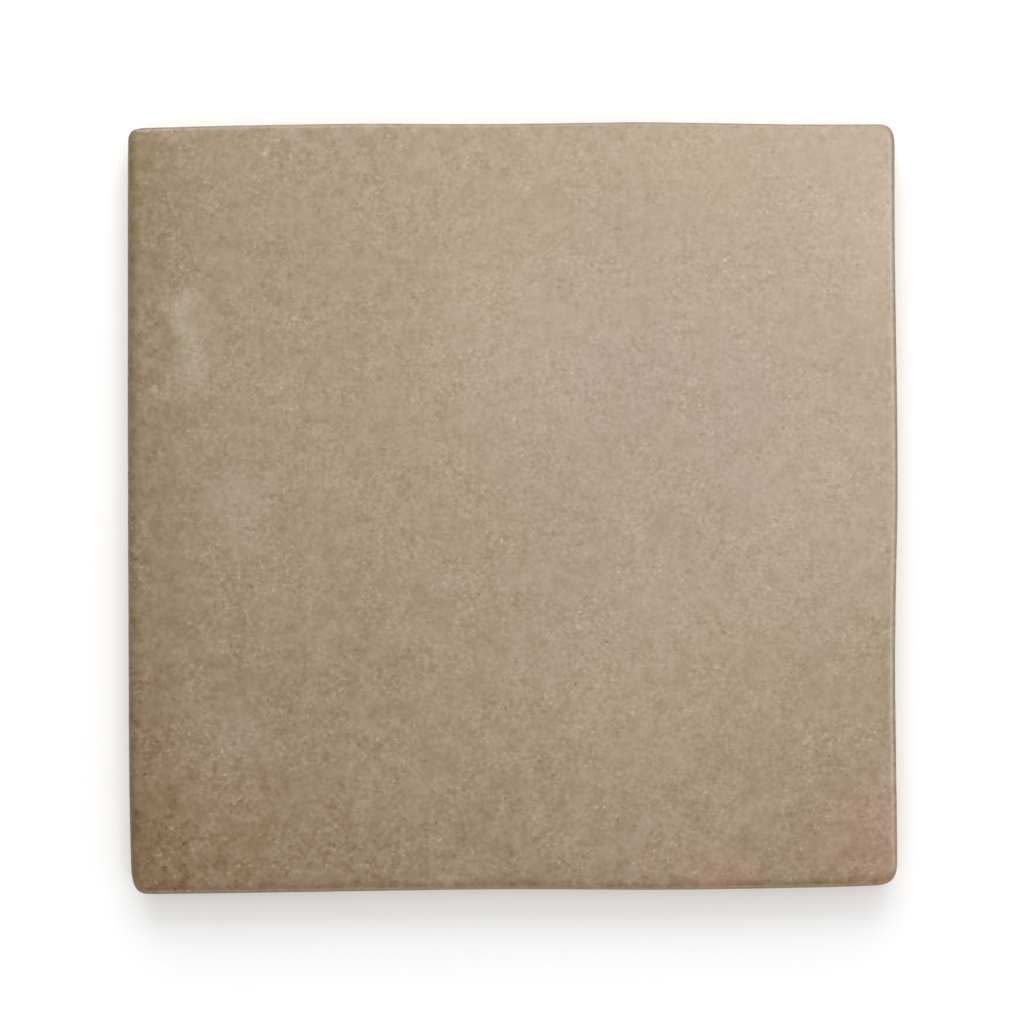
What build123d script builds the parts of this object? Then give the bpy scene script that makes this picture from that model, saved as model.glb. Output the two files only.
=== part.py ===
from build123d import *
from math import exp
import os

# A square ceramic wall tile with a hand-made look: one body, pressed, glazed and fired.
# Millimetres. The tile lies on its back, with the origin in the middle of the back.
# +Z points out of the face, and +Y is the edge that is uppermost on a wall.

# Overall sizes
WIDTH = 132.0  # along X, over the crests of the east and west sides
LENGTH = 132.3  # along Y, over the crests of the north and south sides
THICKNESS = 9.0  # from the back to the highest part of the face

# How far each wavy side lies behind its crest line, at even steps from corner to corner.
# North and south run from west to east, and east and west run from south to north.
NORTH_WAVE = (0.95, 0.50, 0.25, 0.30, 0.00, 0.30, 0.25)
SOUTH_WAVE = (0.00, 0.30, 0.65, 0.90, 0.80, 1.00, 1.50)
EAST_WAVE = (0.10, 0.40, 0.50, 0.12, 0.25, 0.55, 0.55)
WEST_WAVE = (0.55, 0.20, 0.12, 0.03, 0.00, 0.00, 0.00)

# How far each rounded corner reaches along X and along Y
NORTH_WEST_CORNER = (2.2, 2.4)
NORTH_EAST_CORNER = (2.6, 3.2)
SOUTH_WEST_CORNER = (2.8, 3.9)
SOUTH_EAST_CORNER = (3.1, 4.8)

# The four walls
WALL_LEAN = 0.5  # how far a wall leans in from its top down to the back
FOOT_BEVEL = 0.5  # the small arris where a wall meets the back

# The face is a low cushion: it falls a little towards the rim and then rolls over.
CUSHION_DROP = 0.6  # the fall from the middle of the face to the rim
CUSHION_POWER = 8  # a higher power keeps the middle flatter and the fall nearer the rim
RIM_ROUND = 1.5  # the roll from the face into the wall

# Shallow hollows left in the face by hand pressing: x, y, depth and reach of each
FACE_HOLLOWS = (
    (-30.0, 25.0, 0.35, 18.0),
    (28.0, -8.0, 0.30, 22.0),
    (5.0, 45.0, 0.20, 14.0),
    (-38.0, -35.0, 0.30, 16.0),
    (42.0, 42.0, 0.20, 15.0),
    (30.0, -45.0, 0.25, 14.0),
)
FACE_STATIONS = 23  # heights taken across the face each way to shape its surface
FACE_TOLERANCE = 0.005  # how closely the surface keeps to those heights
FACE_MARGIN = 1.0  # how far the face surface runs out past the walls before it is trimmed

# The key on the back: a shallow field with square pads left standing for the adhesive
BACK_BORDER = 7.0  # the flat band between the field and the crest lines
FIELD_CORNER = 4.0
KEY_DEPTH = 0.8
KEY_DRAFT = 20.0  # degrees that the pressed edges of the key slope
PADS_ACROSS = 7  # odd, so that one pad lies in the middle
PAD_GAP = 3.4
PAD_CORNER = 1.2  # cut off each corner of a pad

# A curve with handles this long beside its reach is close to a quarter of an ellipse.
QUARTER_ROUND = 0.5523


def even_steps(start, end, count):
    """Places from start to end, evenly spaced."""
    return [start + (end - start) * step / (count - 1) for step in range(count)]


def behind(crest, depth):
    """The place this far inside a crest line, towards the middle of the tile."""
    return crest - depth if crest > 0 else crest + depth


def side_along_x(wave, start, end, crest, z):
    """A north or south side, from one corner to the next."""
    places = even_steps(start, end, len(wave))
    return Spline([(x, behind(crest, depth), z) for x, depth in zip(places, wave)])


def side_along_y(wave, start, end, crest, z):
    """An east or west side, from one corner to the next."""
    places = even_steps(start, end, len(wave))
    return Spline([(behind(crest, depth), y, z) for y, depth in zip(places, wave)])


def corner(side, next_side):
    """The rounded corner that runs on smoothly from the end of one side into the next."""
    start, end = side @ 1, next_side @ 0
    leaving, arriving = side % 1, next_side % 0
    reach = end - start
    first_handle = start + leaving * (QUARTER_ROUND * reach.dot(leaving))
    second_handle = end - arriving * (QUARTER_ROUND * reach.dot(arriving))
    return Bezier(start, first_handle, second_handle, end)


def outline(z, inset):
    """The tile's outline at height z, with its crests this far inside the full size."""
    east, north = WIDTH / 2 - inset, LENGTH / 2 - inset
    west, south = -east, -north
    sides = (
        side_along_x(SOUTH_WAVE, west + SOUTH_WEST_CORNER[0], east - SOUTH_EAST_CORNER[0], south, z),
        side_along_y(EAST_WAVE, south + SOUTH_EAST_CORNER[1], north - NORTH_EAST_CORNER[1], east, z),
        side_along_x(NORTH_WAVE[::-1], east - NORTH_EAST_CORNER[0], west + NORTH_WEST_CORNER[0], north, z),
        side_along_y(WEST_WAVE[::-1], north - NORTH_WEST_CORNER[1], south + SOUTH_WEST_CORNER[1], west, z),
    )
    edges = []
    for side, next_side in zip(sides, sides[1:] + sides[:1]):
        edges += [side.edge(), corner(side, next_side).edge()]
    return Wire(edges)


def pressed_block():
    """A block with the wavy outline, a bevelled foot and leaning walls, taller than the face needs."""
    shoulder = THICKNESS - CUSHION_DROP - RIM_ROUND
    top = THICKNESS + FACE_MARGIN
    slope = WALL_LEAN / (shoulder - FOOT_BEVEL)
    back = outline(0, WALL_LEAN + FOOT_BEVEL)
    foot = outline(FOOT_BEVEL, WALL_LEAN)
    over_face = outline(top, slope * (shoulder - top))
    return Solid.make_loft([back, foot, over_face], ruled=True)


def face_fall(x, y):
    """How far the face lies under a flat one, before its rim is rolled over."""
    fall = CUSHION_DROP * ((2 * x / WIDTH) ** CUSHION_POWER + (2 * y / LENGTH) ** CUSHION_POWER)
    for hollow_x, hollow_y, depth, reach in FACE_HOLLOWS:
        away = (x - hollow_x) ** 2 + (y - hollow_y) ** 2
        fall += depth * exp(-away / (2 * reach**2))
    return fall


def space_over_face():
    """Everything over the uneven face, as a solid to take off the block."""
    half_x, half_y = WIDTH / 2 + FACE_MARGIN, LENGTH / 2 + FACE_MARGIN
    columns = even_steps(-half_x, half_x, FACE_STATIONS)
    rows = even_steps(-half_y, half_y, FACE_STATIONS)
    crest = min(face_fall(x, y) for x in columns for y in rows)
    heights = [[(x, y, THICKNESS + crest - face_fall(x, y)) for y in rows] for x in columns]
    surface = Face.make_surface_from_array_of_points(heights, tol=FACE_TOLERANCE, min_deg=3, max_deg=5)
    return Solid.extrude(surface, Vector(0, 0, THICKNESS))


def back_key():
    """The space pressed out of the back: the field, less the pads that stand in it."""
    field_x, field_y = WIDTH - 2 * BACK_BORDER, LENGTH - 2 * BACK_BORDER
    pad_x = (field_x - (PADS_ACROSS + 1) * PAD_GAP) / PADS_ACROSS
    pad_y = (field_y - (PADS_ACROSS + 1) * PAD_GAP) / PADS_ACROSS
    field = extrude(RectangleRounded(field_x, field_y, FIELD_CORNER), KEY_DEPTH, taper=KEY_DRAFT)
    pad_face = chamfer(Rectangle(pad_x, pad_y).vertices(), PAD_CORNER)
    pad = extrude(pad_face, KEY_DEPTH, taper=-KEY_DRAFT)
    return field - GridLocations(pad_x + PAD_GAP, pad_y + PAD_GAP, PADS_ACROSS, PADS_ACROSS) * pad


def make_tile():
    """The whole tile, from the block to its face, rim, foot and key."""
    tile = pressed_block() - space_over_face()
    tile = fillet(tile.faces().sort_by(Axis.Z)[-1].edges(), RIM_ROUND)
    return tile - back_key()


os.makedirs("parts", exist_ok=True)
export_step(make_tile(), "parts/tile.step")
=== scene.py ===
import bmesh
import bpy
from math import cos, radians, sin
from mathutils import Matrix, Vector, noise
from mathutils.bvhtree import BVHTree


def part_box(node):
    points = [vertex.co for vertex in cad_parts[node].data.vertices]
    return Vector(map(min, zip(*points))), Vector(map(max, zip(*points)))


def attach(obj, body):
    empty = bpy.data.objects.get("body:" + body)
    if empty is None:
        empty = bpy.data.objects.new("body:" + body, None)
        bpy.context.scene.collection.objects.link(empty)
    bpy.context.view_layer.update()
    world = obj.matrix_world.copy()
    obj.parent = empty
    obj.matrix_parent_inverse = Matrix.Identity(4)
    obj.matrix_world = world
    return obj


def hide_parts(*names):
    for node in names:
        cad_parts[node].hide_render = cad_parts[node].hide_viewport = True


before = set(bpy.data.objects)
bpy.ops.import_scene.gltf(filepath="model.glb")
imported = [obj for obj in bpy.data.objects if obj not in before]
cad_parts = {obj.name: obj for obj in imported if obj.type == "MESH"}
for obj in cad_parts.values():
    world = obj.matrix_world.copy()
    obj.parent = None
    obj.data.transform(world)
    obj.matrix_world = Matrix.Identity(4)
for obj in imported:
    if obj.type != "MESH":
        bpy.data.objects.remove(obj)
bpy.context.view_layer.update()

# The glazed tile
# One slab of clay, pressed in a mould with a soft, uneven face and wavy sides, then dipped
# face down in a matt glaze and fired. Its face and walls are new here, in cells of about
# 0.6 mm, and its foot and keyed back are those of the solid.
MM = 0.001
tile_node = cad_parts["tile"]
tile_low, tile_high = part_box("tile")
tile_middle = (tile_low + tile_high) / 2
half_tile = (tile_high - tile_low) / 2

FACE_CELLS = 220  # across the face, each way
FACE_FALL = 0.6 * MM  # from the middle of the face to the rim
FACE_SMOOTHINGS = 12
ROLL = 1.5 * MM  # the round between face and wall
ROLL_MARGIN = 0.4 * MM  # the flat left on the face before the round starts
ROLL_RINGS = 6
WALL_RINGS = 10
RIM_SMOOTHINGS = 3
CORNER_ZONE = 5.0 * MM  # the corners fan out from points this far inside the two sides
WALL_FOOT = 1.4 * MM  # the new wall ends here
FOOT_TOP = 0.9 * MM  # the foot and back below this are the solid's own
WELD = 0.001 * MM
STEP_DIGITS = 5  # the grid's steps are told apart by this many digits
UP = Vector((0, 0, 1))

solid = bmesh.new()
solid.from_mesh(tile_node.data)
bmesh.ops.remove_doubles(solid, verts=solid.verts, dist=WELD)
solid_tree = BVHTree.FromBMesh(solid)
shoulder = tile_high.z - ROLL - FACE_FALL  # the height of the widest outline, where the wall starts


def out_of_solid(start, direction):
    """The point where a line from inside the tile leaves it."""
    return solid_tree.ray_cast(start, direction)[0]


def fan_start(spot):
    """The point inside the tile that a spot near its outline fans out from."""
    x = max(CORNER_ZONE - half_tile.x, min(half_tile.x - CORNER_ZONE, spot.x - tile_middle.x))
    y = max(CORNER_ZONE - half_tile.y, min(half_tile.y - CORNER_ZONE, spot.y - tile_middle.y))
    return Vector((tile_middle.x + x, tile_middle.y + y, shoulder))


def side_reach(step, outward):
    """How far the outline lies from the middle line at this step along a side, from -1 to 1."""
    sideways = Vector((abs(outward.y), abs(outward.x), 0))
    length = half_tile.dot(sideways) - CORNER_ZONE
    start = Vector((tile_middle.x, tile_middle.y, shoulder)) + sideways * (step * length)
    return (out_of_solid(start, outward) - start).length


# The face is a grid, stretched to the four wavy sides and laid on the solid's face.
tile = bmesh.new()
bmesh.ops.create_grid(tile, x_segments=FACE_CELLS, y_segments=FACE_CELLS, size=1.0)
steps = {round(vert.co.x, STEP_DIGITS) for vert in tile.verts}
east = {step: side_reach(step, Vector((1, 0, 0))) for step in steps}
west = {step: side_reach(step, Vector((-1, 0, 0))) for step in steps}
north = {step: side_reach(step, Vector((0, 1, 0))) for step in steps}
south = {step: side_reach(step, Vector((0, -1, 0))) for step in steps}
inset = ROLL + ROLL_MARGIN
fans = {}
for vert in tile.verts:
    across = round(vert.co.x, STEP_DIGITS)
    along = round(vert.co.y, STEP_DIGITS)
    x = tile_middle.x + across * ((east if across > 0 else west)[along] - inset)
    y = tile_middle.y + along * ((north if along > 0 else south)[across] - inset)
    if vert.is_boundary:
        start = fan_start(Vector((x, y, 0)))
        outward = (Vector((x, y, shoulder)) - start).normalized()
        edge = out_of_solid(start, outward)
        x, y, _ = edge - outward * inset
        fans[vert] = (start, outward, edge)
    vert.co = out_of_solid(Vector((x, y, shoulder)), UP)
face_verts = [vert for vert in tile.verts if not vert.is_boundary]
for _ in range(FACE_SMOOTHINGS):
    bmesh.ops.smooth_vert(tile, verts=face_verts, factor=0.5,
                          use_axis_x=True, use_axis_y=True, use_axis_z=True)

# The rolled rim and the walls grow from the face's edge, ring by ring.
roots = {vert: vert.co.copy() for vert in fans}


def grow_ring(edges, put, amount):
    """Extrudes an open ring of edges once, puts each new vertex in its place and returns the new ring."""
    grown = bmesh.ops.extrude_edge_only(tile, edges=edges)["geom"]
    new_verts = {item for item in grown if isinstance(item, bmesh.types.BMVert)}
    for vert in new_verts:
        (parent,) = {link.other_vert(vert) for link in vert.link_edges} - new_verts
        fans[vert] = fans[parent]
        roots[vert] = roots[parent]
        vert.co = put(vert, amount)
    new_edges = [item for item in grown if isinstance(item, bmesh.types.BMEdge)]
    return [edge for edge in new_edges if new_verts.issuperset(edge.verts)]


def on_roll(vert, angle):
    """A place on the round, at this angle from upright as seen from the round's own centre line."""
    _, outward, edge = fans[vert]
    centre = Vector((edge.x, edge.y, roots[vert].z - ROLL)) - outward * ROLL
    return out_of_solid(centre, outward * sin(angle) + UP * cos(angle))


def on_wall(vert, down):
    """A place on the wall, this part of the way down, straight out from the fan's start."""
    start, outward, _ = fans[vert]
    height = (1 - down) * (roots[vert].z - ROLL) + down * WALL_FOOT
    return out_of_solid(Vector((start.x, start.y, height)), outward)


ring = [edge for edge in tile.edges if edge.is_boundary]
for step in range(1, ROLL_RINGS + 1):
    ring = grow_ring(ring, on_roll, radians(90) * step / ROLL_RINGS)
for step in range(1, WALL_RINGS + 1):
    ring = grow_ring(ring, on_wall, step / WALL_RINGS)
rim_verts = [vert for vert in fans if not vert.is_boundary]
for _ in range(RIM_SMOOTHINGS):
    bmesh.ops.smooth_vert(tile, verts=rim_verts, factor=0.4,
                          use_axis_x=True, use_axis_y=True, use_axis_z=True)

# The foot and the keyed back are cut from the solid and joined to the walls.
everything = [*solid.verts, *solid.edges, *solid.faces]
bmesh.ops.bisect_plane(solid, geom=everything, plane_co=UP * FOOT_TOP, plane_no=UP, clear_outer=True)
back_mesh = bpy.data.meshes.new("back")
solid.to_mesh(back_mesh)
tile.from_mesh(back_mesh)
bpy.data.meshes.remove(back_mesh)
bmesh.ops.bridge_loops(tile, edges=[edge for edge in tile.edges if edge.is_boundary])
bmesh.ops.recalc_face_normals(tile, faces=tile.faces)

# The fired surface isn't true: it dips softly where the clay was pressed, and the glaze
# lies on it with a fine skin like sand. The last three values of a fractal are how fast its
# finer parts fade, how much finer each is than the one before, and how many it has.
DIP = 0.05 * MM
DIP_REACH = 11 * MM
SKIN = 0.016 * MM
SKIN_REACH = 1.5 * MM
SKIN_STARTS = 2.0 * MM  # both grow to their full depth over this height of the wall
tile.normal_update()
moves = {}
for vert in tile.verts:
    hold = min(1.0, (vert.co.z - WALL_FOOT) / SKIN_STARTS)
    if hold > 0:
        dip = DIP * (0.5 + 0.5 * noise.fractal(vert.co / DIP_REACH, 1.0, 2.0, 3))
        skin = SKIN * (0.5 + 0.5 * noise.fractal(vert.co / SKIN_REACH, 0.7, 2.1, 2))
        moves[vert] = vert.normal * (-hold * (max(0.0, dip) + max(0.0, skin)))
for vert, move in moves.items():
    vert.co += move

SHARP = radians(30)  # edges of the foot and key that turn by more than this stay crisp
for face in tile.faces:
    face.smooth = True
for edge in tile.edges:
    if edge.calc_face_angle(0.0) > SHARP and edge.verts[0].co.z < FOOT_TOP:
        edge.smooth = False
tile_mesh = bpy.data.meshes.new("glazed_tile")
tile.to_mesh(tile_mesh)
glazed_tile = bpy.data.objects.new("glazed_tile", tile_mesh)
bpy.context.scene.collection.objects.link(glazed_tile)

# The glaze and the clay under it
# The tile was dipped face down in a matt taupe stoneware glaze, which drifts between olive
# and mauve, is speckled like fine sand and stops in an uneven line low on the walls. Below
# that line and on the back the pressed clay is bare, dry and buff. Sizes here are in mm.
finish = bpy.data.materials.new("matt_taupe_glaze_on_buff_clay")
finish.use_nodes = True
nodes = finish.node_tree.nodes
links = finish.node_tree.links
shader = nodes["Principled BSDF"]


def paint(red, green, blue):
    """A colour given in 0 to 255, as the shader takes it."""
    return tuple(((part / 255 + 0.055) / 1.055) ** 2.4 for part in (red, green, blue)) + (1.0,)


def result_of(node):
    """The first output that a node has in use."""
    return next(socket for socket in node.outputs if socket.enabled)


def add(kind, *values, **settings):
    """A new node of the finish, with its options set and its inputs set or joined in order."""
    node = nodes.new(kind)
    for option, choice in settings.items():
        setattr(node, option, choice)
    for socket, value in zip([socket for socket in node.inputs if socket.enabled], values):
        if isinstance(value, bpy.types.Node):
            value = result_of(value)
        if isinstance(value, bpy.types.NodeSocket):
            links.new(value, socket)
        elif value is not None:
            socket.default_value = value
    return node


def fade(value, start, end):
    """Rises smoothly from 0 to 1 while the value runs from start to end."""
    return add("ShaderNodeMapRange", value, start, end, 0.0, 1.0, interpolation_type="SMOOTHSTEP")


def spread(size, shift, start):
    """Places on the tile in steps of this size, moved so that no two patterns match."""
    return add("ShaderNodeMapping", start, (shift, shift, shift), None, (1 / size, 1 / size, 1 / size))


def clouds(size, detail, roughness, shift, distortion=0.0):
    """Soft noise about 0.5, with marks of about this size."""
    return add("ShaderNodeTexNoise", spread(size, shift, place), 1.0, detail, roughness, 2.0, distortion)


def strayed(size, reach, shift):
    """Places moved about by soft noise, so that what is drawn with them has broken edges."""
    noisy = clouds(size, detail=3.0, roughness=0.6, shift=shift).outputs["Color"]
    stray = add("ShaderNodeVectorMath", noisy, (0.5, 0.5, 0.5), operation="SUBTRACT")
    return add("ShaderNodeVectorMath", stray, (reach, reach, 0.0), place, operation="MULTIPLY_ADD")


def specks(spacing, radius, shift):
    """Ragged specks: 1 in the middle and 0 outside, of up to this radius, at about this spacing."""
    away = add("ShaderNodeTexVoronoi", spread(spacing, shift, ragged), 1.0, 0.0, 0.5, 2.0, 1.0)
    return fade(away, radius / spacing, 0.3 * radius / spacing)


def patch(x, y, reach, stretch=1.0):
    """A patch with broken edges: 1 in its middle and 0 beyond its reach, stretched along Y."""
    flat = add("ShaderNodeVectorMath", wandering, (1.0, 1 / stretch, 0.0), operation="MULTIPLY")
    away = add("ShaderNodeVectorMath", flat, (x, y / stretch, 0.0), operation="DISTANCE")
    return fade(away.outputs["Value"], reach, 0.2 * reach)


def total(*masks):
    """Several masks, or parts of them, added together."""
    result = masks[0]
    for mask in masks[1:]:
        result = add("ShaderNodeMath", result, mask, operation="ADD")
    return result


def share(mask, amount, centre=0.0):
    """Part of a mask, counted from its centre value."""
    return add("ShaderNodeMath", mask, amount, -amount * centre, operation="MULTIPLY_ADD")


def times(mask, other):
    """One mask made stronger or weaker by another."""
    return add("ShaderNodeMath", mask, other, operation="MULTIPLY")


def tinted(colour, tint, amount):
    """A colour taken towards a tint by this amount."""
    return add("ShaderNodeMix", amount, colour, tint, data_type="RGBA")


def between(first, second, amount):
    """A value taken from the first towards the second by this amount."""
    return add("ShaderNodeMix", amount, first, second, data_type="FLOAT")


metres = nodes.new("ShaderNodeTexCoord").outputs["Object"]
place = add("ShaderNodeMapping", metres, None, None, (1 / MM, 1 / MM, 1 / MM))
wandering = strayed(7.0, reach=12.0, shift=40.0)
ragged = strayed(0.6, reach=1.2, shift=47.0)

# Fine sand, coarser mottling and slow clouds share the speckle. Short pale hairs, pale flecks
# and dark pin specks lie over it, and are bolder where the pale ones crowd together. A hair is
# a short piece of a line along which soft noise passes through its middle value.
sand = clouds(0.8, detail=0.7, roughness=0.7, shift=11.0)
mottle = clouds(2.6, detail=1.0, roughness=1.0, shift=23.0)
drift = clouds(20.0, detail=2.0, roughness=0.6, shift=31.0)
crowded = fade(clouds(9.0, detail=1.0, roughness=0.6, shift=67.0), 0.35, 0.6)
hair_clouds = clouds(1.6, detail=0.0, roughness=0.5, shift=57.0, distortion=0.6)
off_hair = add("ShaderNodeMath", share(hair_clouds, 1.0, 0.5), operation="ABSOLUTE")
hair_pieces = fade(clouds(1.1, detail=0.0, roughness=0.5, shift=71.0), 0.52, 0.62)
hair = times(fade(off_hair, 0.045, 0.0), hair_pieces)
pale = times(specks(1.6, radius=0.36, shift=5.0), crowded)
dark = specks(1.8, radius=0.33, shift=83.0)
grains = total(share(sand, 0.72, 0.5), share(hair, 0.33), share(pale, 0.5), share(dark, -0.4))
boldness = total(share(crowded, 0.7), 0.56)

# The glaze is a little darker along the west edge and in the southern corners, most of all
# towards the south-west, and paler where it lay thin.
wandering_parts = add("ShaderNodeSeparateXYZ", wandering).outputs
west_edge = fade(wandering_parts["X"], -52.0, -62.0)
south_edge = fade(wandering_parts["Y"], -24.0, -64.0)
south_west = patch(-60.0, -58.0, reach=44.0)
south_east = patch(60.0, -56.0, reach=18.0)
darker_south_and_west = total(share(south_west, 0.85), share(south_east, 0.4), share(west_edge, 0.55))
thin = total(patch(25.0, -26.0, reach=30.0), patch(-1.0, 27.0, reach=26.0), patch(54.0, 0.0, reach=26.0))
tone = total(times(grains, boldness), share(mottle, 0.8, 0.5), share(drift, 0.15, 0.5),
             share(thin, 0.1), share(darker_south_and_west, -0.2))

# The fire left its hue uneven, with pale blooms, a bluish haze, a mauve middle and north-east
# corner, and a blush at two corners and along the south edge.
west_bloom = total(patch(-56.0, 33.6, reach=5.0), patch(-55.0, 25.5, reach=5.0, stretch=1.7))
east_bloom = total(patch(62.5, 47.0, reach=8.0, stretch=1.5), patch(61.0, 36.0, reach=6.0))
bloom = total(west_bloom, share(east_bloom, 0.35))
west_haze = total(patch(-47.0, 1.0, reach=9.0), patch(-46.0, -39.0, reach=8.0))
haze = total(west_haze, share(patch(54.0, 54.0, reach=22.0), 0.25))
mauve = total(patch(27.0, 16.0, reach=52.0), share(patch(60.0, 58.0, reach=26.0), 0.8))
corner_blush = total(patch(63.0, -58.0, reach=18.0), patch(-60.0, 65.0, reach=4.0))
blush = total(corner_blush, patch(36.0, -64.0, reach=9.0), share(south_edge, 0.35))

TONE = (0.16, 0.14, 0.12)  # what one step of tone adds to the colour, nearly grey
hue = fade(total(share(drift, 0.6), share(mottle, 0.4)), 0.4, 0.6)
glaze = tinted(paint(124, 104, 74), paint(125, 103, 76), hue)
glaze = tinted(glaze, paint(127, 106, 87), share(mauve, 0.6))
glaze = tinted(glaze, paint(158, 142, 122), share(bloom, 0.5))
glaze = tinted(glaze, paint(140, 122, 100), share(haze, 0.45))
glaze = tinted(glaze, paint(142, 107, 83), share(blush, 0.4))
glaze = add("ShaderNodeVectorMath", tone, TONE, glaze, operation="MULTIPLY_ADD")

clay_grain = clouds(1.2, detail=3.0, roughness=0.7, shift=97.0)
clay_specks = specks(3.0, radius=0.4, shift=19.0)
clay = tinted(paint(186, 160, 128), paint(208, 186, 156), fade(clay_grain, 0.3, 0.7))
clay = tinted(clay, paint(120, 92, 66), share(clay_specks, 0.5))

# The glaze stops a little under 2 mm above the back, and up to 1 mm higher or lower on the way
# round the tile.
GLAZE_STOPS = 1.7
GLAZE_FULL = 2.0
above_back = add("ShaderNodeSeparateXYZ", place).outputs["Z"]
uneven = share(clouds(6.0, detail=3.0, roughness=0.6, shift=3.0), 3.0, 0.5)
glazed = fade(total(above_back, uneven), GLAZE_STOPS, GLAZE_FULL)
links.new(result_of(tinted(clay, glaze, glazed)), shader.inputs["Base Color"])

GLAZE_ROUGHNESS = 0.47
CLAY_ROUGHNESS = 0.85
dryness = total(share(mottle, 0.20, 0.5), share(drift, 0.15, 0.5), share(haze, 0.05))
roughness = between(CLAY_ROUGHNESS, total(dryness, GLAZE_ROUGHNESS), glazed)
links.new(result_of(roughness), shader.inputs["Roughness"])
shader.inputs["Specular IOR Level"].default_value = 0.38

RELIEF = 0.02 * MM  # the height of the finest grain, which the mesh is too coarse for
relief = nodes.new("ShaderNodeBump")
relief.inputs["Strength"].default_value = 1.0
relief.inputs["Distance"].default_value = RELIEF
glaze_grain = total(sand, share(mottle, 0.6), share(hair, 0.15))
links.new(result_of(between(clay_grain, glaze_grain, glazed)), relief.inputs["Height"])
links.new(relief.outputs["Normal"], shader.inputs["Normal"])
glazed_tile.data.materials.append(finish)

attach(glazed_tile, "root")
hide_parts("tile")

# The studio
# A sheet of white paper lies under the tile in a white room, soft panels light it, and the
# camera looks straight down from above.
FLOOR_GAP = 0.05 * MM  # keeps the paper clear of the back
FLOOR_HALF = 2.0  # metres from the middle to each side
floor = bmesh.new()
bmesh.ops.create_grid(floor, x_segments=1, y_segments=1, size=FLOOR_HALF)
bmesh.ops.translate(floor, verts=floor.verts, vec=(0, 0, tile_low.z - FLOOR_GAP))
floor_mesh = bpy.data.meshes.new("studio_floor")
floor.to_mesh(floor_mesh)
studio_floor = bpy.data.objects.new("studio_floor", floor_mesh)
bpy.context.scene.collection.objects.link(studio_floor)
paper = bpy.data.materials.new("white_paper")
paper.use_nodes = True
paper_shader = paper.node_tree.nodes["Principled BSDF"]
paper_shader.inputs["Base Color"].default_value = (0.92, 0.92, 0.92, 1)
paper_shader.inputs["Roughness"].default_value = 1.0
paper_shader.inputs["Specular IOR Level"].default_value = 0.0
floor_mesh.materials.append(paper)

room = bpy.data.worlds.new("studio")
room.use_nodes = True
room_light = room.node_tree.nodes["Background"]
room_light.inputs["Color"].default_value = (1, 1, 1, 1)
room_light.inputs["Strength"].default_value = 0.5
bpy.context.scene.world = room


def panel(name, turn, rise, distance, width, height, watts):
    """A soft panel aimed at the tile: degrees from +Y to +X, degrees of rise, then metres and watts."""
    level = cos(radians(rise))
    towards = Vector((sin(radians(turn)) * level, cos(radians(turn)) * level, sin(radians(rise))))
    light = bpy.data.lights.new(name, "AREA")
    light.shape = "RECTANGLE"
    light.size = width
    light.size_y = height
    light.energy = watts
    lamp = bpy.data.objects.new(name, light)
    lamp.location = towards * distance
    lamp.rotation_euler = towards.to_track_quat("Z", "Y").to_euler()
    bpy.context.scene.collection.objects.link(lamp)
    return lamp


# A window-like key from the north, a wide soft panel overhead and a weak one from the south
# light the glaze evenly. Three panels to the east of north show in its shine only.
panel("key", 0, 42, 0.9, 0.8, 0.6, 4.1)
panel("overhead", 0, 89, 1.2, 1.0, 1.0, 4.4).visible_glossy = False
panel("south_fill", 180, 60, 0.9, 0.8, 0.6, 1.1).visible_glossy = False
panel("high_sheen", 40, 75, 0.5, 0.3, 0.3, 2.9).visible_diffuse = False
panel("near_sheen", 40, 40, 0.5, 0.4, 0.4, 3.4).visible_diffuse = False
panel("east_sheen", 86, 33, 0.75, 0.55, 0.4, 8.3).visible_diffuse = False

# Two low panels light the rims on the north and east sides, and three show in their shine only.
LOW = (8, 0.8, 0.8, 0.15)  # rise, distance, width and height
panel("north_low", 0, *LOW, 1.6).visible_glossy = False
panel("east_low", 90, *LOW, 1.0).visible_glossy = False
panel("north_rim", 0, *LOW, 9.0).visible_diffuse = False
panel("east_rim", 90, *LOW, 3.0).visible_diffuse = False
panel("south_rim", 180, *LOW, 3.0).visible_diffuse = False

LENS = 100  # mm
VIEW_WIDTH = 175.3 * MM  # at the height of the tile's widest outline
VIEW_OFF = Vector((-0.17 * MM, -0.63 * MM, 0))  # the tile isn't quite in the middle of the view
camera_data = bpy.data.cameras.new("camera")
camera_data.lens = LENS
camera_data.clip_start = 10 * MM
camera = bpy.data.objects.new("camera", camera_data)
camera_distance = VIEW_WIDTH * LENS / camera_data.sensor_width
camera.location = VIEW_OFF + Vector((0, 0, shoulder + camera_distance))
bpy.context.scene.collection.objects.link(camera)
bpy.context.scene.camera = camera
bpy.context.scene.view_settings.view_transform = "Standard"
